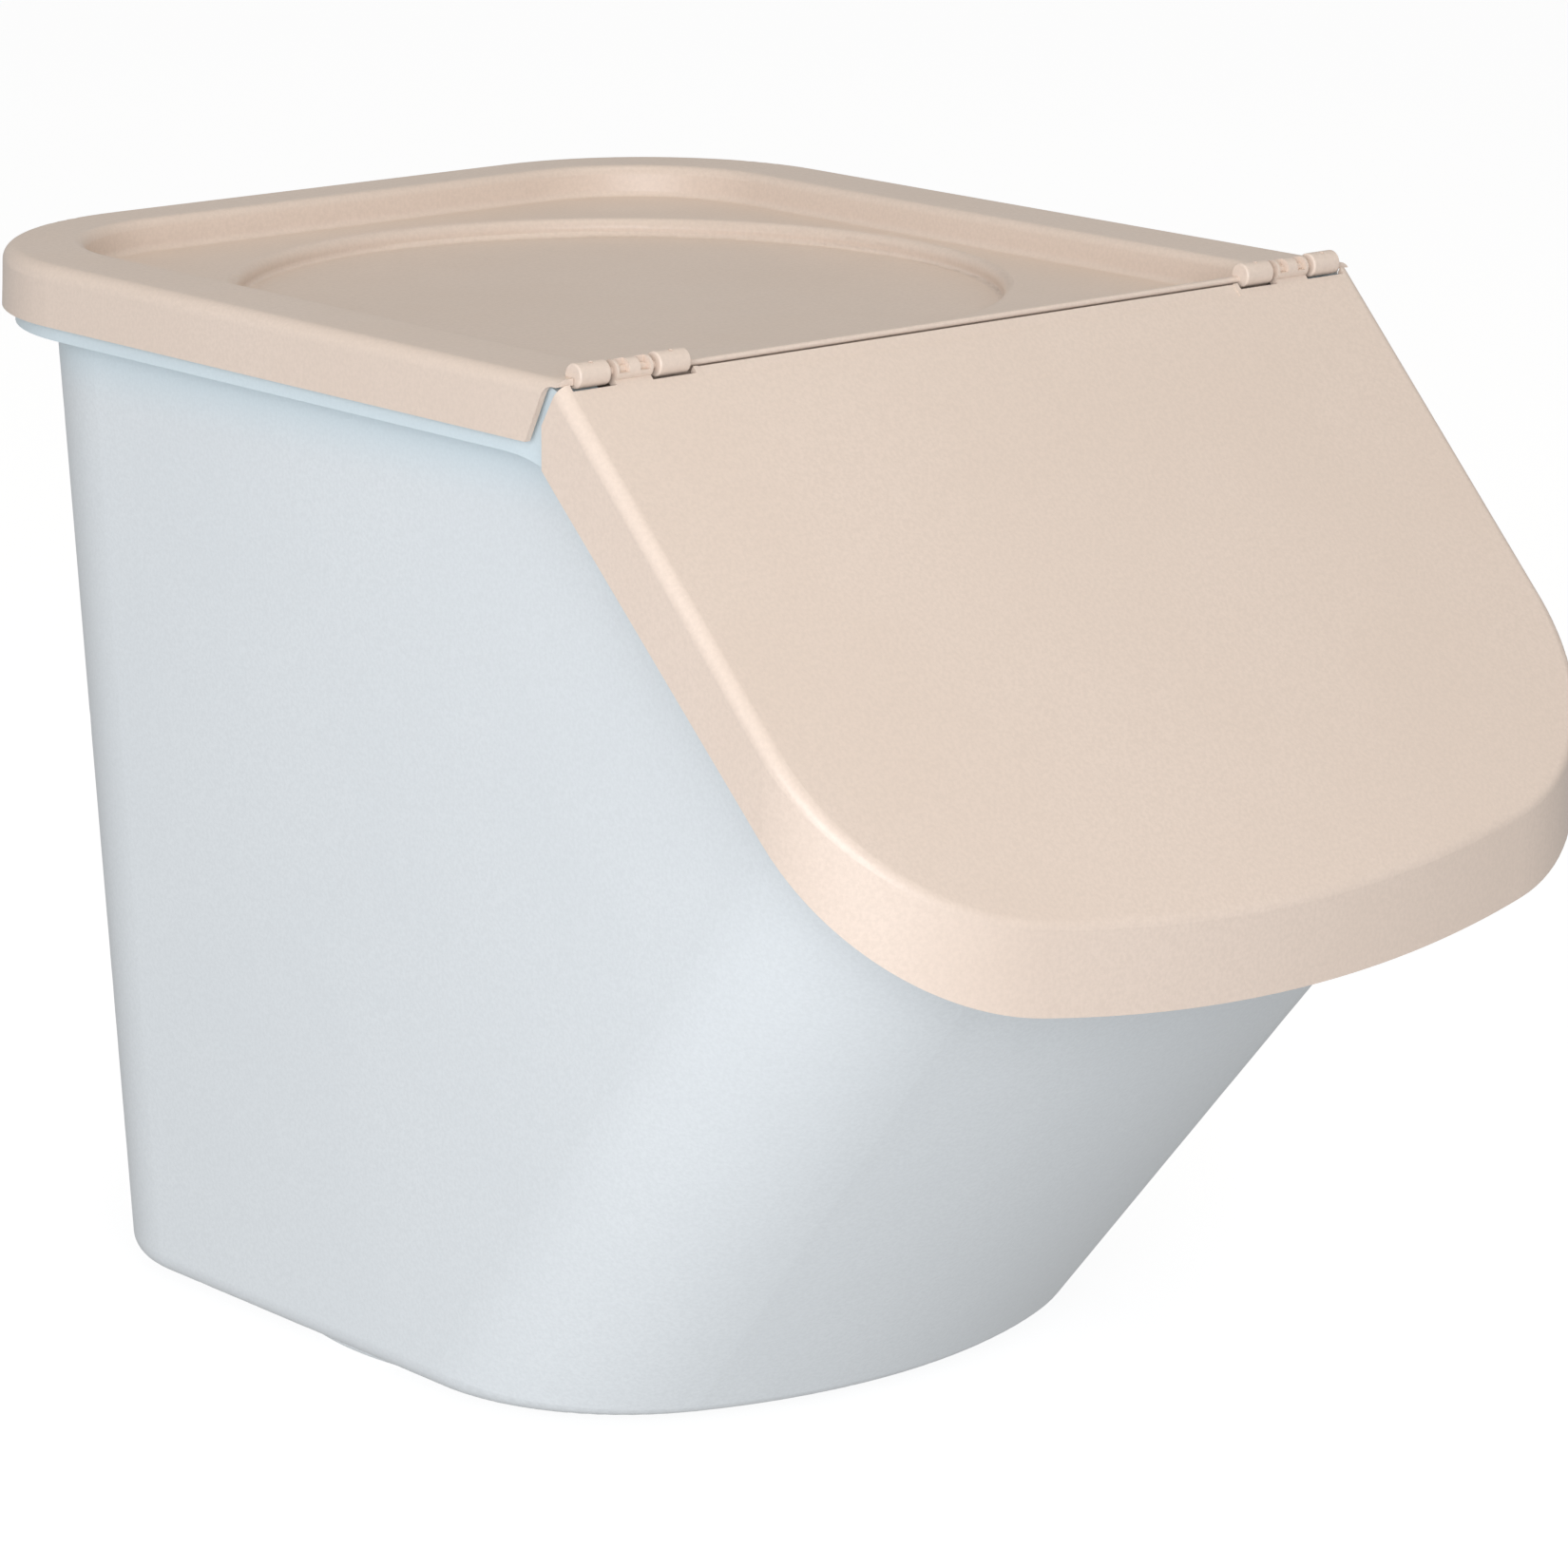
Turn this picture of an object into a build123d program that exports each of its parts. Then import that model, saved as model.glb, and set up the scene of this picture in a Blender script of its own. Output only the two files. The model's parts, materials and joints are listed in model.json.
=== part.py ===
"""Pet food bin: a tapered tub with a slanted front mouth, a lift-off rear lid and a front
flap that hinges on the lid. Millimetres, +Z up, front towards -Y, left and right alike.
The origin is at the middle of the floor area that the whole bin covers."""

import os
from math import cos, radians, sin, sqrt, tan

from build123d import *

os.makedirs("parts", exist_ok=True)

# Overall: the hinge line divides the top into a level lid and a slanted flap
lid_top = 425.0
lid_length = 405.0
flap_length = 256.0
flap_slope = 45.5
run = cos(radians(flap_slope))
rise = sin(radians(flap_slope))
lid_flare = 0.9
hinge_y = (flap_length * run - lid_length - lid_flare) / 2
sheet = 2.4
seat_gap = 0.3
seat = sheet + seat_gap
span = 500.0

# Tub: outer sizes at its base and at the height of the lid's top, from the hinge line
foot_height = 5.0
foot_radius = 138.0
foot_ring = 9.0
foot_rounding = 1.5
tub_wall = 2.5
base_half = 150.0
base_rear, base_front = 371.0, 31.5
base_rear_radius, base_front_radius, base_bow_radius = 56.0, 99.0, 225.0
top_half = 180.0
top_rear, top_front = 386.0, -301.5
top_rear_radius, top_front_radius, top_bow_radius = 78.0, 80.0, 566.0
base_fillet = 10.0

# Rim: a band round the mouth that hangs outside the wall; its depths are under the lid and the flap
rim_gap = 0.8
rim_depth_lid, rim_depth_flap = 29.9, 22.0
rim_lip = 2.2
rim_inset = sheet + rim_gap
rim_inset_lid = rim_inset + 1.0
bend_top, bend_low = 25.0, 70.0

# Rear lid
lid_half_front, lid_half_rear = 199.0, 197.5
lid_corner = 96.0
lid_skirt = 23.5
lid_draft = 2.2
lid_edge = 6.0
lid_ear = 1.0
arch_start, arch_lean, arch_radius = 4.4, 0.465, 4.5
nose_rounding = 1.15
rim_width, rim_width_rear = 34.0, 28.5
recess_depth = 12.7
recess_corner = 64.0
recess_draft = 6.0
dish_radius = 150.0
dish_depth = 7.3
dish_y = hinge_y + 202.0
lip_wall = 5.6
lip_corner = 8.0
tray_rounding, floor_rounding = 4.0, 3.0
dish_rounding, dish_floor_rounding = 4.0, 2.0

# Flap, measured down its own slope from the hinge line
flap_half_top, flap_half_low = 198.0, 193.5
flap_corner, flap_bow_radius = 94.0, 567.0
flap_drop_top, flap_drop_front = 40.0, 33.0
flap_edge = 5.0
flap_start = 2.6
flap_lean = 0.268
band_width, band_step, band_half = 8.5, 0.4, 134.0

# Hinge: on each side two closed barrels on the lid and one saddle on the flap
axis_z = lid_top + 0.6
barrel_radius = 4.6
barrel_ends = ((139.1, 153.3), (175.6, 189.6))
barrel_rounding = 0.8
dimple_radius, dimple_depth, dimple_y = 0.9, 0.7, -1.2
notch_side, notch_depth = 2.9, 5.5
saddle_ends = (barrel_ends[0][1] + notch_side, barrel_ends[1][0] - notch_side)
saddle_radius = 4.0
saddle_room = 5.4
ear_gap = 0.4
end_play = 0.5
pin_radius = 1.6
bore_radius = 1.66
pin_ends = (141.3, 187.4)
pin_chamfer = 0.4
window_side, window_width = 1.15, 4.6
window_front, window_back, window_floor = -5.0, 0.2, -0.6

# Side views are drawn looking along +X, from the hinge line: first +Y, then +Z
side_plane = Plane(origin=(0, hinge_y, lid_top), x_dir=(0, 1, 0), z_dir=(1, 0, 0))
axis_plane = Plane(origin=(0, hinge_y, axis_z), x_dir=(0, 1, 0), z_dir=(1, 0, 0))
flap_plane = Plane(origin=(0, hinge_y, lid_top), x_dir=(1, 0, 0), z_dir=(0, -rise, run))


def tub_section(height, half, rear, front, rear_radius, front_radius, bow_radius):
    """Level section of the tub: straight sides, round corners and a bowed front."""
    corner = front + bow_radius - sqrt(bow_radius**2 - half**2)
    with BuildSketch(Plane(origin=(0, hinge_y, height))) as section:
        with BuildLine():
            Polyline((half, corner), (half, rear), (-half, rear), (-half, corner))
            ThreePointArc((-half, corner), (0, front), (half, corner))
        make_face()
        fillet(section.vertices().group_by(Axis.Y)[-1], rear_radius)
        fillet(section.vertices().sort_by(lambda v: abs(v.Y - corner))[:2], front_radius)
    return section.sketch.face()


def base_section(height, inset):
    """Tub outline at its base, drawn in by inset all round."""
    return tub_section(
        height,
        base_half - inset,
        base_rear - inset,
        base_front + inset,
        base_rear_radius - inset,
        base_front_radius - inset,
        base_bow_radius - inset,
    )


def top_section(height, inset):
    """Tub outline at the height of the lid's top, drawn in by inset all round."""
    return tub_section(
        height,
        top_half - inset,
        top_rear - inset,
        top_front + inset,
        top_rear_radius - inset,
        top_front_radius - inset,
        top_bow_radius - inset,
    )


def lid_outline(height, grow, front):
    """Level outline of the rear lid, straight across at the front."""
    half_front = lid_half_front + grow
    half_rear = lid_half_rear + grow
    rear = lid_length + grow
    with BuildSketch(Plane(origin=(0, hinge_y, height))) as outline:
        with BuildLine():
            Polyline(
                (half_front, front),
                (half_rear, rear),
                (-half_rear, rear),
                (-half_front, front),
                close=True,
            )
        make_face()
        fillet(outline.vertices().group_by(Axis.Y)[-1], lid_corner + grow)
    return outline.sketch.face()


def flap_outline(depth, inset, start):
    """Flap outline on its slope: straight sides, round corners and a bowed front."""
    half_top = flap_half_top - inset
    half_low = flap_half_low - inset
    bow = flap_bow_radius - inset
    length = flap_length - inset / run
    corner = length - bow + sqrt(bow**2 - half_low**2)
    origin = flap_plane.origin - (0, 0, depth / run)
    below = Plane(origin=origin, x_dir=flap_plane.x_dir, z_dir=flap_plane.z_dir)
    with BuildSketch(below) as outline:
        with BuildLine():
            Polyline(
                (-half_low, -corner),
                (-half_top, -start),
                (half_top, -start),
                (half_low, -corner),
            )
            ThreePointArc((-half_low, -corner), (0, -length), (half_low, -corner))
        make_face()
        fillet(outline.vertices().group_by(Axis.Y)[0], flap_corner - inset)
    return outline.sketch.face()


def roof_line(lid_depth, flap_depth):
    """Side-view points of a line under the lid and the flap: far rear, bend, far front."""
    bend = ((flap_depth / run - lid_depth) / tan(radians(flap_slope)), -lid_depth)
    front = (bend[0] - 800 * run, bend[1] - 800 * rise)
    return (800, -lid_depth), bend, front


def roof_band(upper, lower, upper_radius, lower_radius):
    """Side view of a band between two lines under the lid and the flap, with rounded bends."""
    with BuildSketch(side_plane) as band:
        with BuildLine():
            Polyline(*upper, *reversed(lower), close=True)
        make_face()
        for line, radius in ((upper, upper_radius), (lower, lower_radius)):
            fillet(band.vertices().sort_by_distance(line[1])[0], radius)
    return band.sketch.face()


def side_profile(*points):
    """Closed side view through points given from the hinge line: first +Y, then +Z."""
    with BuildSketch(side_plane) as profile:
        with BuildLine():
            Polyline(*points, close=True)
        make_face()
    return profile.sketch.face()


def recess_outline(depth, grow):
    """Outline of the lid's tray at a depth below the lid's top."""
    half = lid_half_rear - rim_width + grow
    rear = lid_length - rim_width_rear + grow
    front = lip_wall - grow
    with BuildSketch(Plane(origin=(0, hinge_y, lid_top - depth))) as outline:
        with BuildLine():
            Polyline((half, front), (half, rear), (-half, rear), (-half, front), close=True)
        make_face()
        fillet(outline.vertices().group_by(Axis.Y)[-1], recess_corner + grow)
        fillet(outline.vertices().group_by(Axis.Y)[0], lip_corner + grow)
    return outline.sketch.face()


def in_tray(edge):
    """Whether an edge lies inside the tray's outline at the lid's top."""
    box = edge.bounding_box()
    half = lid_half_rear - rim_width + 0.5
    front = hinge_y + lip_wall - 0.5
    rear = hinge_y + lid_length - rim_width_rear + 0.5
    return box.min.X > -half and box.max.X < half and box.min.Y > front and box.max.Y < rear


def flap_point(along, depth):
    """Side-view point at a distance down the flap's slope and a depth below its face."""
    return (-along * run + depth * rise, -along * rise - depth * run)


def knuckle(side, ends):
    """Round barrel on the hinge axis with softened ends, on the left (-1) or the right (1)."""
    start, end = sorted(side * x for x in ends)
    with BuildPart() as barrel:
        with BuildSketch(axis_plane.offset(start)):
            Circle(barrel_radius)
        extrude(amount=end - start)
        fillet(barrel.edges().filter_by(GeomType.CIRCLE), barrel_rounding)
    return barrel.part


# Tub: the shell is lofted, its top is cut to the roof line and the hollow rim is added
seat_line = roof_line(seat, seat)
far_line = roof_line(span, span)

with BuildPart() as shell:
    loft(sections=[base_section(foot_height, 0), top_section(lid_top, 0)], ruled=True)
    fillet(shell.faces().sort_by(Axis.Z)[0].edges(), base_fillet)

with BuildPart() as inside:
    floor_section = base_section(foot_height + tub_wall, tub_wall)
    loft(sections=[floor_section, top_section(lid_top, tub_wall)], ruled=True)
    fillet(inside.faces().sort_by(Axis.Z)[0].edges(), base_fillet - tub_wall)

with BuildPart() as rim:
    extrude(to_extrude=lid_outline(lid_top - 80, -rim_inset_lid, 0), amount=80)
    extrude(to_extrude=flap_outline(0, rim_inset, 0), amount=80, dir=(0, 0, -1))
    rim_band = roof_band(seat_line, roof_line(rim_depth_lid, rim_depth_flap), bend_top, bend_low)
    extrude(to_extrude=rim_band, amount=span, both=True, mode=Mode.INTERSECT)

with BuildPart() as rim_hollow:
    extrude(to_extrude=lid_outline(lid_top - 80, -rim_inset_lid - rim_lip, 0), amount=80)
    extrude(to_extrude=flap_outline(0, rim_inset + rim_lip, 0), amount=80, dir=(0, 0, -1))
    under_rim = roof_line(seat + sheet, seat + sheet)
    hollow_band = roof_band(under_rim, roof_line(80, 80), bend_top - sheet, 5)
    extrude(to_extrude=hollow_band, amount=span, both=True, mode=Mode.INTERSECT)
    add(shell.part, mode=Mode.SUBTRACT)

with BuildPart() as tub:
    add(shell.part)
    kept_band = roof_band(seat_line, far_line, bend_top, 5)
    extrude(to_extrude=kept_band, amount=span, both=True, mode=Mode.INTERSECT)
    add(rim.part)
    add(rim_hollow.part, mode=Mode.SUBTRACT)
    add(inside.part, mode=Mode.SUBTRACT)
    with BuildSketch(Plane(origin=(0, dish_y, 0))):
        Circle(foot_radius)
        Circle(foot_radius - foot_ring, mode=Mode.SUBTRACT)
    extrude(amount=foot_height + tub_wall / 2)
    fillet(tub.edges().filter_by(GeomType.CIRCLE).group_by(Axis.Z)[0], foot_rounding)
tub.part.label = "tub"
export_step(tub.part, "parts/tub.step")

# Rear lid: a skirted plate with a stepped tray, a round dish in its floor and the barrels
with BuildPart() as rear_lid:
    outer = lid_outline(lid_top - lid_skirt, lid_flare, -40)
    extrude(to_extrude=outer, amount=lid_skirt, taper=lid_draft)
    top_edges = rear_lid.faces().sort_by(Axis.Z)[-1].edges()
    fillet(top_edges.sort_by(Axis.Y)[1:], lid_edge)
    inner = lid_outline(lid_top - lid_skirt, lid_flare - sheet, -60)
    extrude(to_extrude=inner, amount=lid_skirt - sheet, taper=lid_draft, mode=Mode.SUBTRACT)

    # the skirt stops short of the hinge line, in an arch under the plate's corner
    arch_end = (arch_start + (60 - sheet) * arch_lean, -60)
    with BuildSketch(side_plane) as skirt_end:
        with BuildLine():
            Polyline(
                (-60, 10),
                (-lid_ear, 10),
                (-lid_ear, -sheet),
                (arch_start, -sheet),
                arch_end,
                (-60, -60),
                close=True,
            )
        make_face()
        fillet(skirt_end.vertices().sort_by_distance((arch_start, -sheet))[0], arch_radius)
    extrude(amount=span, both=True, mode=Mode.SUBTRACT)
    with BuildSketch(Plane(origin=(0, hinge_y, lid_top - lid_skirt))):
        with Locations((0, -10)):
            Rectangle(2 * (barrel_ends[1][1] + ear_gap), 20)
    extrude(amount=span, mode=Mode.SUBTRACT)
    nose = rear_lid.faces().filter_by(Axis.Y).sort_by(Axis.Y)
    nose = [face for face in nose if abs(face.center().Y - hinge_y) < 0.01]
    fillet([edge for face in nose for edge in face.edges().filter_by(Axis.X)], nose_rounding)

    # the tray and the dish: first their undersides, then their hollows
    narrowing = recess_depth * tan(radians(recess_draft))
    floor_depth = recess_depth + sheet
    tray_outer = recess_outline(floor_depth, sheet - narrowing)
    extrude(to_extrude=tray_outer, amount=floor_depth - sheet / 2, taper=-recess_draft)
    with BuildSketch(Plane(origin=(0, dish_y, lid_top - floor_depth - dish_depth))):
        Circle(dish_radius + sheet)
    extrude(amount=dish_depth + sheet)
    tray_inner = recess_outline(recess_depth, -narrowing)
    extrude(to_extrude=tray_inner, amount=recess_depth, taper=-recess_draft, mode=Mode.SUBTRACT)
    with BuildSketch(Plane(origin=(0, dish_y, lid_top - recess_depth - dish_depth))):
        Circle(dish_radius)
    extrude(amount=dish_depth + 1, mode=Mode.SUBTRACT)

    # soften the rims and floors of the tray and of the dish
    level = lid_top
    rim_edges = rear_lid.edges().filter_by_position(Axis.Z, level - 0.01, level + 0.01)
    fillet(rim_edges.filter_by(in_tray), tray_rounding)
    level = lid_top - recess_depth
    for drop, radius in ((0, dish_rounding), (dish_depth, dish_floor_rounding)):
        ring = rear_lid.edges().filter_by_position(Axis.Z, level - drop - 0.01, level - drop + 0.01)
        ring = ring.filter_by(GeomType.CIRCLE)
        fillet(ring.filter_by(lambda e: abs(e.radius - dish_radius) < 0.5), radius)
    floor_edges = rear_lid.edges().filter_by_position(Axis.Z, level - 0.01, level + 0.01)
    tray_reach = lid_half_rear - rim_width + 5
    fillet(floor_edges.filter_by(lambda e: abs(e.center().X) < tray_reach), floor_rounding)

    # room for the saddles, then the barrels with their blind bores and dimples
    for side in (-1, 1):
        start, end = sorted((side * barrel_ends[0][1], side * barrel_ends[1][0]))
        with BuildSketch(axis_plane.offset(start)):
            Circle(saddle_room)
        extrude(amount=end - start, mode=Mode.SUBTRACT)
    for side in (-1, 1):
        for ends in barrel_ends:
            add(knuckle(side, ends))
    for side in (-1, 1):
        start, end = sorted((side * (pin_ends[0] - end_play), side * (pin_ends[1] + end_play)))
        with BuildSketch(axis_plane.offset(start)):
            Circle(bore_radius)
        extrude(amount=end - start, mode=Mode.SUBTRACT)
    dimples = [side * sum(ends) / 2 for ends in barrel_ends for side in (-1, 1)]
    with BuildSketch(Plane(origin=(0, hinge_y, axis_z + barrel_radius - dimple_depth))):
        with Locations([(x, dimple_y) for x in dimples]):
            Circle(dimple_radius)
    extrude(amount=2, mode=Mode.SUBTRACT)
rear_lid.part.label = "rear_lid"
export_step(rear_lid.part, "parts/rear_lid.step")

# Flap: a skirted slanted plate, open towards the hinge line
with BuildPart() as flap:
    extrude(to_extrude=flap_outline(0, 0, -10), amount=flap_drop_top, dir=(0, 0, -1))
    slanted = flap.faces().filter_by(lambda f: f.normal_at().Z > 0.1)
    face_edges = slanted.sort_by(Axis.Z)[-1].edges()
    fillet(face_edges.sort_by(Axis.Z)[:-1], flap_edge)
    hollow = flap_outline(sheet, sheet, -30)
    extrude(to_extrude=hollow, amount=flap_drop_top, dir=(0, 0, -1), mode=Mode.SUBTRACT)

    # the skirt's lower edge, then the slanted cut that leaves room at the hinge line
    front_y, front_z = flap_point(flap_length, 0)
    front_z = front_z - flap_drop_front
    skirt_cut = side_profile(
        (40, -flap_drop_top),
        (0, -flap_drop_top),
        (front_y, front_z),
        (-300, front_z - (300 + front_y)),
        (-300, -400),
        (40, -400),
    )
    extrude(to_extrude=skirt_cut, amount=span, both=True, mode=Mode.SUBTRACT)
    start_cut = side_profile(
        flap_point(flap_start - 10 * flap_lean, -10),
        flap_point(flap_start + 60 * flap_lean, 60),
        flap_point(-60, 60),
        flap_point(-60, -10),
    )
    extrude(to_extrude=start_cut, amount=span, both=True, mode=Mode.SUBTRACT)

    # shallow band along the top edge, notches for the barrels
    with BuildSketch(flap_plane.offset(-band_step)):
        Rectangle(2 * band_half, 2 * band_width)
    extrude(amount=5, mode=Mode.SUBTRACT)
    for side in (-1, 1):
        for start, end in barrel_ends:
            with BuildSketch(flap_plane.offset(-40)):
                with Locations((side * (start + end) / 2, 0)):
                    Rectangle(end - start + 2 * notch_side, 2 * notch_depth)
            extrude(amount=60, mode=Mode.SUBTRACT)

    # saddles: a neck on the plate, a sleeve round the pin, and a web between two windows
    for side in (-1, 1):
        start, end = sorted(side * x for x in saddle_ends)
        with BuildSketch(side_plane.offset(start)):
            with BuildLine():
                Polyline(
                    flap_point(7, 0),
                    flap_point(7, sheet),
                    flap_point(2, sheet + 1),
                    flap_point(0.5, 0.5),
                    close=True,
                )
            make_face()
        extrude(amount=end - start)
        with BuildSketch(axis_plane.offset(start)):
            Circle(saddle_radius)
        extrude(amount=end - start)
        reach = window_side + window_width / 2
        with BuildSketch(Plane(origin=(0, hinge_y, axis_z + window_floor))):
            window_y = (window_front + window_back) / 2
            with Locations((start + reach, window_y), (end - reach, window_y)):
                Rectangle(window_width, window_back - window_front)
        extrude(amount=2 * saddle_radius, mode=Mode.SUBTRACT)
        with BuildSketch(axis_plane.offset(start - 1)):
            Circle(pin_radius)
        extrude(amount=end - start + 2, mode=Mode.SUBTRACT)
flap.part.label = "flap"
export_step(flap.part, "parts/flap.step")

# Hinge pins: one round rod through each saddle into the two barrels beside it
for side, name in ((-1, "hinge_pin_left"), (1, "hinge_pin_right")):
    start, end = sorted(side * x for x in pin_ends)
    with BuildPart() as hinge_pin:
        with BuildSketch(axis_plane.offset(start)):
            Circle(pin_radius)
        extrude(amount=end - start)
        chamfer(hinge_pin.edges().filter_by(GeomType.CIRCLE), pin_chamfer)
    hinge_pin.part.label = name
    export_step(hinge_pin.part, f"parts/{name}.step")
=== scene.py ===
"""Pet food bin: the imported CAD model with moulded-plastic materials, studio light and a camera.

Everything is in metres in the model's own frame: front towards -Y, +Z up, floor at z = 0.
"""

import json
import math

import bpy
from mathutils import Matrix, Vector


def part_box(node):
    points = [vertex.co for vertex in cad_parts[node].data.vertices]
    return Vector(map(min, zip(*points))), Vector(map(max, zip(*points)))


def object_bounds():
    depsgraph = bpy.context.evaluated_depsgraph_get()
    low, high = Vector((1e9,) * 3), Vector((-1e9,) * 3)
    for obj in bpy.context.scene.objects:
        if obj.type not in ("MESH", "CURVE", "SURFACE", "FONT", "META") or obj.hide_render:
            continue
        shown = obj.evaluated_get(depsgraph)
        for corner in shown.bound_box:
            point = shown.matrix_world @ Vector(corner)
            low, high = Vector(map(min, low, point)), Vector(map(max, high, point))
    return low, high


# Camera: where it stands, how it is turned (degrees), its lens and its sensor (mm)
CAMERA_PLACE = (-1.5171, -1.7407, 0.8182)
CAMERA_AZIMUTH = -41.23
CAMERA_PITCH = 14.39
CAMERA_ROLL = 0.306
CAMERA_LENS = 140.7
SENSOR_WIDTH = 36.0
CLIP_START, CLIP_END = 0.05, 100.0

# Soft boxes: azimuth (0 in front, negative to the left), elevation, distance, size, radiance,
# colour
SOFT_BOXES = {
    "key_left": (-60, 12, 2.8, 1.5, 4.35, (0.985, 1.0, 1.03)),
    "key_front": (-35, 12, 2.8, 1.5, 4.05, (0.985, 1.0, 1.03)),
    "overhead": (0, 85, 2.8, 1.5, 1.85, (1.04, 0.965, 0.82)),
}
WORLD_STRENGTH = 0.46
FLOOR_GLOW = 0.82
FLOOR_HALF = 30.0
FLOOR_TONES = (0.295, 0.305)
PAPER_GLOSS = 0.1

# Plastic grain: lumps per metre of the colour and bump noises, and bump heights in metres
CLOUD_SCALE, SPECK_SCALE, RUB_SCALE = 9, 650, 26
GRAIN_SCALE, SINK_SCALE = 2100, 34
GRAIN_HEIGHT, SINK_HEIGHT, SINK_STRENGTH = 0.00006, 0.0006, 0.18
SPECK_SHADE, SPECK_AMOUNT = 0.93, 0.7
GLOSS_SPREAD = 0.035
PLASTIC_IOR = 1.49

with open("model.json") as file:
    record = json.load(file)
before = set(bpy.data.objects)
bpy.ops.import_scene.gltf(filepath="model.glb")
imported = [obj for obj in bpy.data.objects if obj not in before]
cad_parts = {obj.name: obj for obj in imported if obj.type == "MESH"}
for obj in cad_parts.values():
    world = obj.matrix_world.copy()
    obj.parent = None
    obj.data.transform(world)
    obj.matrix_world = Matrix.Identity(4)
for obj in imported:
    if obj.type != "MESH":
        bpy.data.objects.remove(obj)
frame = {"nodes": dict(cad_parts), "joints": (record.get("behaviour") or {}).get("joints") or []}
cad_low, cad_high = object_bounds()
nodes = frame["nodes"]
centre = (cad_low + cad_high) / 2


# ---------------------------------------------------------------- shader helpers
class Tree:
    """Node tree of one material, with short calls to add and link its nodes."""

    def __init__(self, name):
        self.material = bpy.data.materials.new(name)
        self.material.use_nodes = True
        self.nodes = self.material.node_tree.nodes
        self.links = self.material.node_tree.links
        self.shader = self.nodes["Principled BSDF"]
        self.place = self.nodes.new("ShaderNodeTexCoord").outputs["Object"]

    def add(self, kind, values=None, **settings):
        """New node with its settings, and its input sockets set to values or linked to outputs."""
        node = self.nodes.new(kind)
        for key, value in settings.items():
            setattr(node, key, value)
        for key, value in (values or {}).items():
            if isinstance(value, bpy.types.NodeSocket):
                self.links.new(value, node.inputs[key])
            else:
                node.inputs[key].default_value = value
        return node

    def noise(self, per_metre, detail=2.0, roughness=0.5):
        """Noise value with a number of lumps per metre."""
        values = {"Vector": self.place, "Scale": per_metre, "Detail": detail}
        node = self.add("ShaderNodeTexNoise", {**values, "Roughness": roughness})
        return node.outputs["Fac"]

    def remap(self, value, low, high, to_low=0.0, to_high=1.0, kind="LINEAR"):
        """Value spread from low..high to to_low..to_high."""
        values = {"Value": value, "From Min": low, "From Max": high}
        values.update({"To Min": to_low, "To Max": to_high})
        node = self.add("ShaderNodeMapRange", values, interpolation_type=kind)
        return node.outputs["Result"]

    def math(self, operation, first, second):
        """Result of a math node on two values."""
        return self.add("ShaderNodeMath", {0: first, 1: second}, operation=operation).outputs[0]

    def mix(self, amount, first, second):
        """Colour between two colours."""
        node = self.add("ShaderNodeMix", data_type="RGBA")
        sockets = {s.identifier: s for s in node.inputs}
        pairs = (("Factor_Float", amount), ("A_Color", first), ("B_Color", second))
        for key, value in pairs:
            if isinstance(value, bpy.types.NodeSocket):
                self.links.new(value, sockets[key])
            else:
                sockets[key].default_value = value if key == "Factor_Float" else (*value, 1.0)
        return next(s for s in node.outputs if s.identifier == "Result_Color")

    def bump(self, height, distance, strength, below=None):
        """Normal bumped by a height value, on top of another normal if one is given."""
        values = {"Height": height, "Distance": distance, "Strength": strength}
        if below is not None:
            values["Normal"] = below
        return self.add("ShaderNodeBump", values).outputs["Normal"]

    def finish(self, colour, roughness, normal):
        """Link the shader's main inputs and return the material."""
        for key, value in (("Base Color", colour), ("Roughness", roughness), ("Normal", normal)):
            self.links.new(value, self.shader.inputs[key])
        return self.material


def moulded_plastic(name, colour, darker, gloss, grain, painted_shade_colour=None, painted_shade_amount=None):
    """Injection-moulded polypropylene: spark-eroded grain, faint flow clouds, uneven gloss, and an
    optional painted shade colour mixed in by a mask.
    """
    tree = Tree(name)
    clouds = tree.noise(CLOUD_SCALE, 3.0, 0.55)
    fine = tree.noise(SPECK_SCALE, 2.0, 0.6)
    cloud_amount = tree.remap(clouds, 0.3, 0.7, 0.0, 1.0, "SMOOTHSTEP")
    surface = tree.mix(cloud_amount, colour, darker)
    speck = tuple(c * SPECK_SHADE for c in darker)
    surface = tree.mix(tree.remap(fine, 0.35, 0.65, 0.0, SPECK_AMOUNT), surface, speck)
    # Painted shade: a second colour mixed in by a mask, on the tub the bluish shade under the lid
    # and flap
    if painted_shade_colour:
        surface = tree.mix(painted_shade_amount(tree), surface, painted_shade_colour)
    rubbed = tree.noise(RUB_SCALE, 4.0, 0.6)
    rough = tree.remap(rubbed, 0.3, 0.7, gloss - GLOSS_SPREAD, gloss + GLOSS_SPREAD)
    grain_height = tree.noise(GRAIN_SCALE, 1.5, 0.55)
    sink_height = tree.noise(SINK_SCALE, 1.0, 0.5)
    normal = tree.bump(sink_height, SINK_HEIGHT, SINK_STRENGTH)
    normal = tree.bump(grain_height, GRAIN_HEIGHT, grain, normal)
    tree.shader.inputs["IOR"].default_value = PLASTIC_IOR
    tree.shader.inputs["Specular IOR Level"].default_value = 0.5
    return tree.finish(surface, rough, normal)


lid_low, lid_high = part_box("rear_lid")
hinge = next(j for j in frame["joints"] if j["name"] == "flap_hinge")["pos_m"]
FLAP_SLOPE = math.radians(45.5)
# Painted bluish shade on the tub's rim where it lies under the lid's skirt and the flap's edge
RIM_DEPTH = 0.0299
RIM_SOLID, RIM_FADE, RIM_SHADE_STRENGTH = 0.0005, 0.03, 0.45


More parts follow.
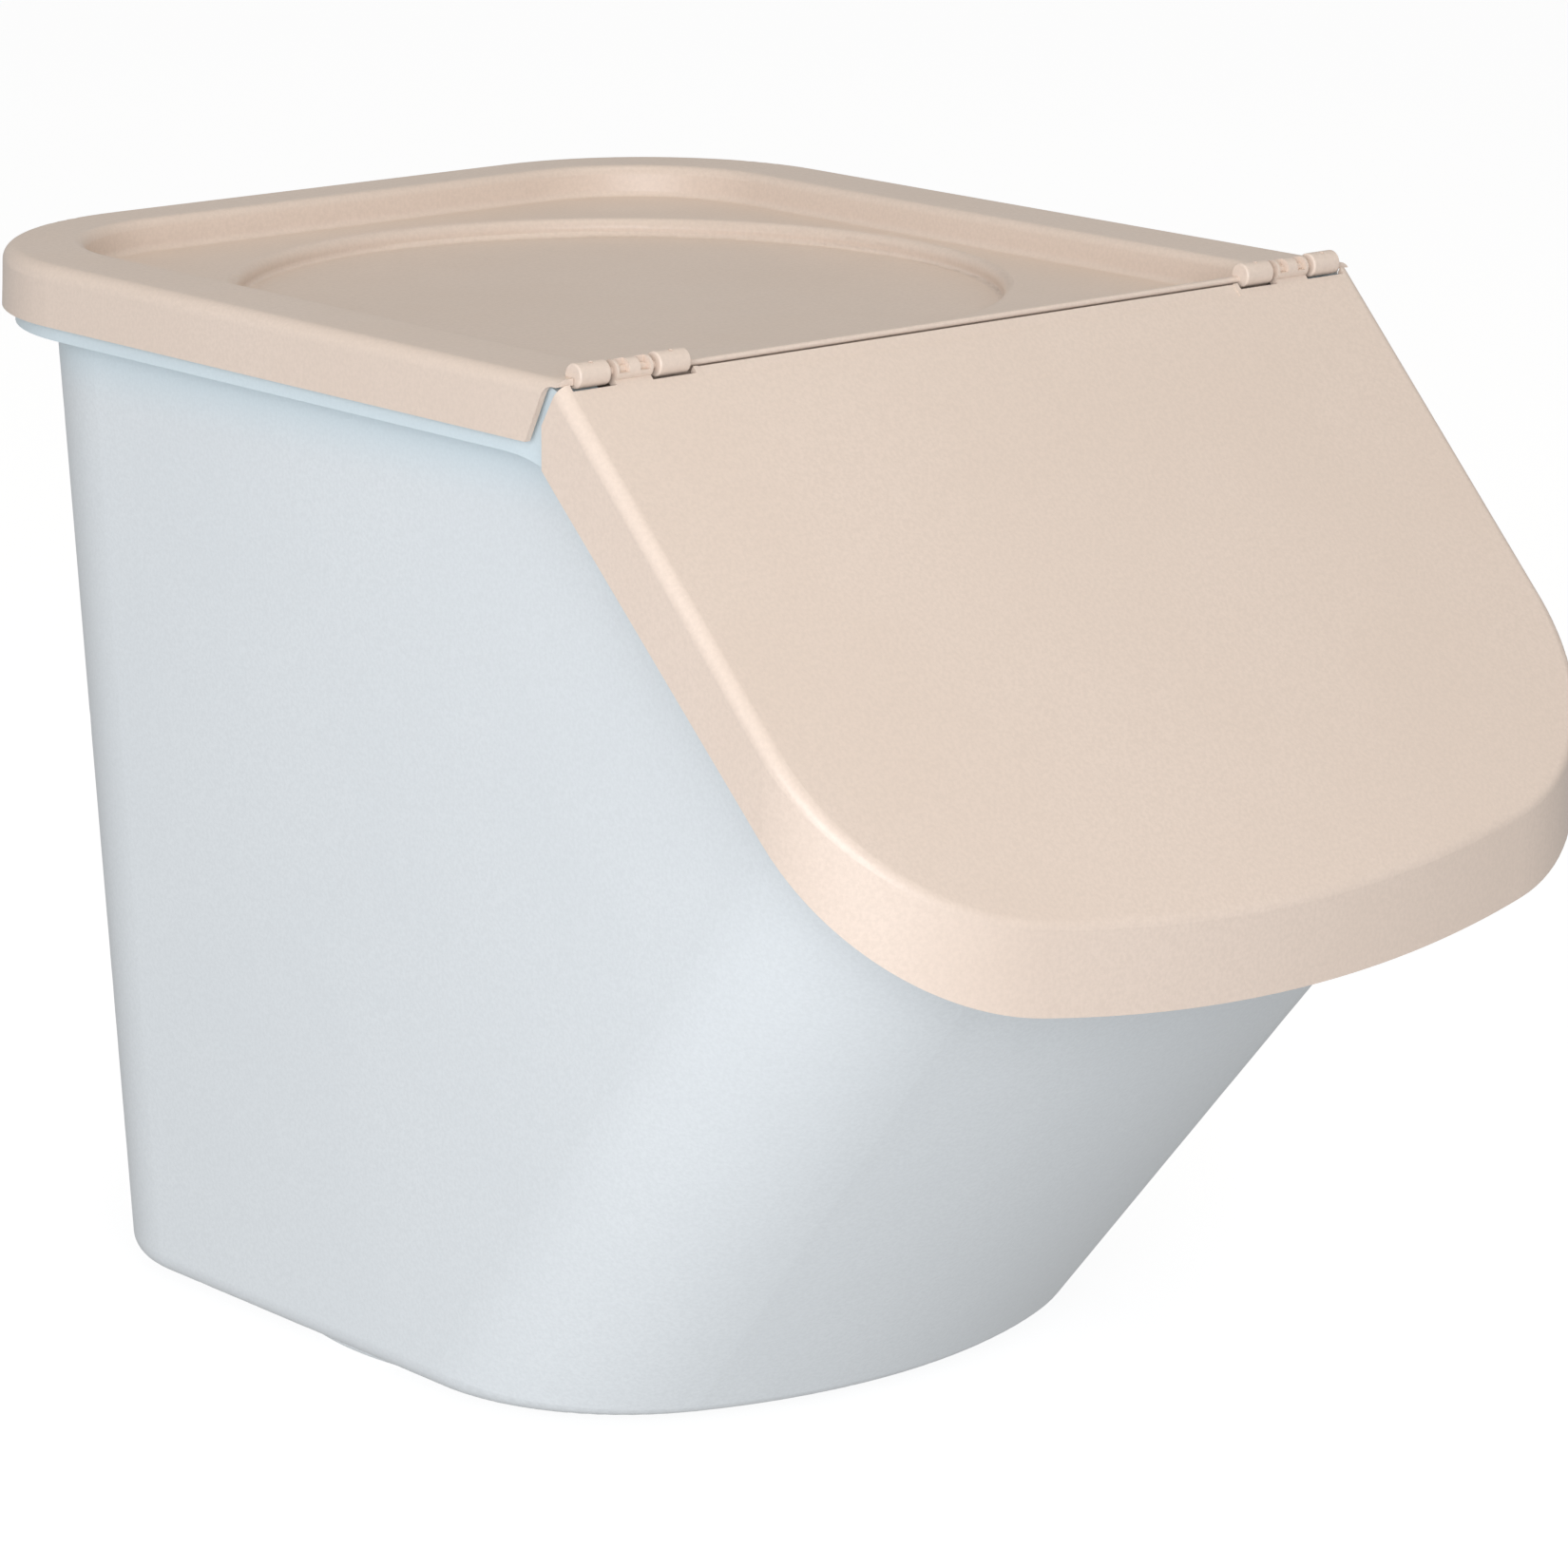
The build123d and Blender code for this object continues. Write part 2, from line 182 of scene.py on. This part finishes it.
def painted_rim_shade(tree):
    """Painted bluish shade on the tub: full strength down to RIM_DEPTH below the lid's and the
    flap's planes, then fading to 0.
    """
    parts = tree.add("ShaderNodeSeparateXYZ", {0: tree.place})
    below_lid = tree.math("SUBTRACT", hinge[2], parts.outputs["Z"])
    ahead = tree.math("SUBTRACT", parts.outputs["Y"], hinge[1])
    fall = tree.math("MULTIPLY", ahead, math.sin(FLAP_SLOPE))
    below_flap = tree.math("MULTIPLY", below_lid, math.cos(FLAP_SLOPE))
    below_flap = tree.math("ADD", below_flap, fall)
    depth = tree.math("MINIMUM", below_lid, below_flap)
    solid_end, fade_end = RIM_DEPTH + RIM_SOLID, RIM_DEPTH + RIM_FADE
    return tree.remap(depth, solid_end, fade_end, RIM_SHADE_STRENGTH, 0.0, "SMOOTHSTEP")


beige = moulded_plastic(
    "beige_polypropylene",
    (0.785, 0.655, 0.562),
    (0.765, 0.635, 0.540),
    0.36,
    0.6,
)
white = moulded_plastic(
    "white_polypropylene",
    (0.775, 0.812, 0.835),
    (0.757, 0.795, 0.820),
    0.38,
    0.35,
    # bluish colour and mask of the painted shade on the rim under the lid and flap
    (0.58, 0.76, 0.84),
    painted_rim_shade,
)
for node_name, material in (
    ("tub", white),
    ("rear_lid", beige),
    ("flap", beige),
    ("hinge_pin_left", beige),
    ("hinge_pin_right", beige),
):
    slots = nodes[node_name].data.materials
    slots.clear()
    slots.append(material)


# ---------------------------------------------------------------- stage, light and camera
def make_floor():
    """Flat pale floor with an even glow.

    Diffuse and glossy rays don't see it, so it throws no light on the bin.
    """
    mesh = bpy.data.meshes.new("floor")
    half = FLOOR_HALF
    corners = [(-half, -half, 0), (half, -half, 0), (half, half, 0), (-half, half, 0)]
    mesh.from_pydata(corners, [], [(0, 1, 2, 3)])
    floor = bpy.data.objects.new("floor", mesh)
    bpy.context.scene.collection.objects.link(floor)
    tree = Tree("floor_paper")
    tone = tree.noise(1.5, 2.0, 0.5)
    paper = tree.mix(tone, *((value,) * 3 for value in FLOOR_TONES))
    fibres = tree.noise(700, 2.0, 0.6)
    tree.finish(paper, tree.remap(fibres, 0, 1, 0.85, 0.95), tree.bump(fibres, 0.00005, 0.2))
    tree.shader.inputs["Specular IOR Level"].default_value = PAPER_GLOSS
    tree.shader.inputs["Emission Color"].default_value = (1, 1, 1, 1)
    tree.shader.inputs["Emission Strength"].default_value = FLOOR_GLOW
    mesh.materials.append(tree.material)
    floor.visible_diffuse = False
    floor.visible_glossy = False


def direction(azimuth, elevation):
    """Unit vector from the bin towards an azimuth and elevation; azimuth 0 is in front."""
    a, e = math.radians(azimuth), math.radians(elevation)
    return Vector((math.sin(a) * math.cos(e), -math.cos(a) * math.cos(e), math.sin(e)))


def soft_box(name, azimuth, elevation, distance, size, radiance, colour):
    """Square area light aimed at the middle of the bin."""
    data = bpy.data.lights.new(name, "AREA")
    data.shape = "SQUARE"
    data.size = size
    data.energy = radiance * math.pi * size**2
    data.color = colour
    lamp = bpy.data.objects.new(name, data)
    towards = direction(azimuth, elevation)
    lamp.location = centre + towards * distance
    lamp.rotation_mode = "QUATERNION"
    lamp.rotation_quaternion = towards.to_track_quat("Z", "Y")
    bpy.context.scene.collection.objects.link(lamp)


make_floor()
for light_name, settings in SOFT_BOXES.items():
    soft_box(light_name, *settings)

world = bpy.data.worlds.new("studio")
world.use_nodes = True
sky = world.node_tree.nodes["Background"]
sky.inputs["Color"].default_value = (1.0, 1.0, 1.0, 1.0)
sky.inputs["Strength"].default_value = WORLD_STRENGTH
bpy.context.scene.world = world
bpy.context.scene.view_settings.view_transform = "Standard"

lens = bpy.data.cameras.new("camera")
lens.sensor_fit = "HORIZONTAL"
lens.sensor_width = SENSOR_WIDTH
lens.lens = CAMERA_LENS
lens.clip_start, lens.clip_end = CLIP_START, CLIP_END
camera = bpy.data.objects.new("camera", lens)
turn = (
    Matrix.Rotation(math.radians(CAMERA_AZIMUTH), 4, "Z")
    @ Matrix.Rotation(math.radians(90 - CAMERA_PITCH), 4, "X")
    @ Matrix.Rotation(math.radians(CAMERA_ROLL), 4, "Z")
)
camera.matrix_world = Matrix.Translation(CAMERA_PLACE) @ turn
bpy.context.scene.collection.objects.link(camera)
bpy.context.scene.camera = camera
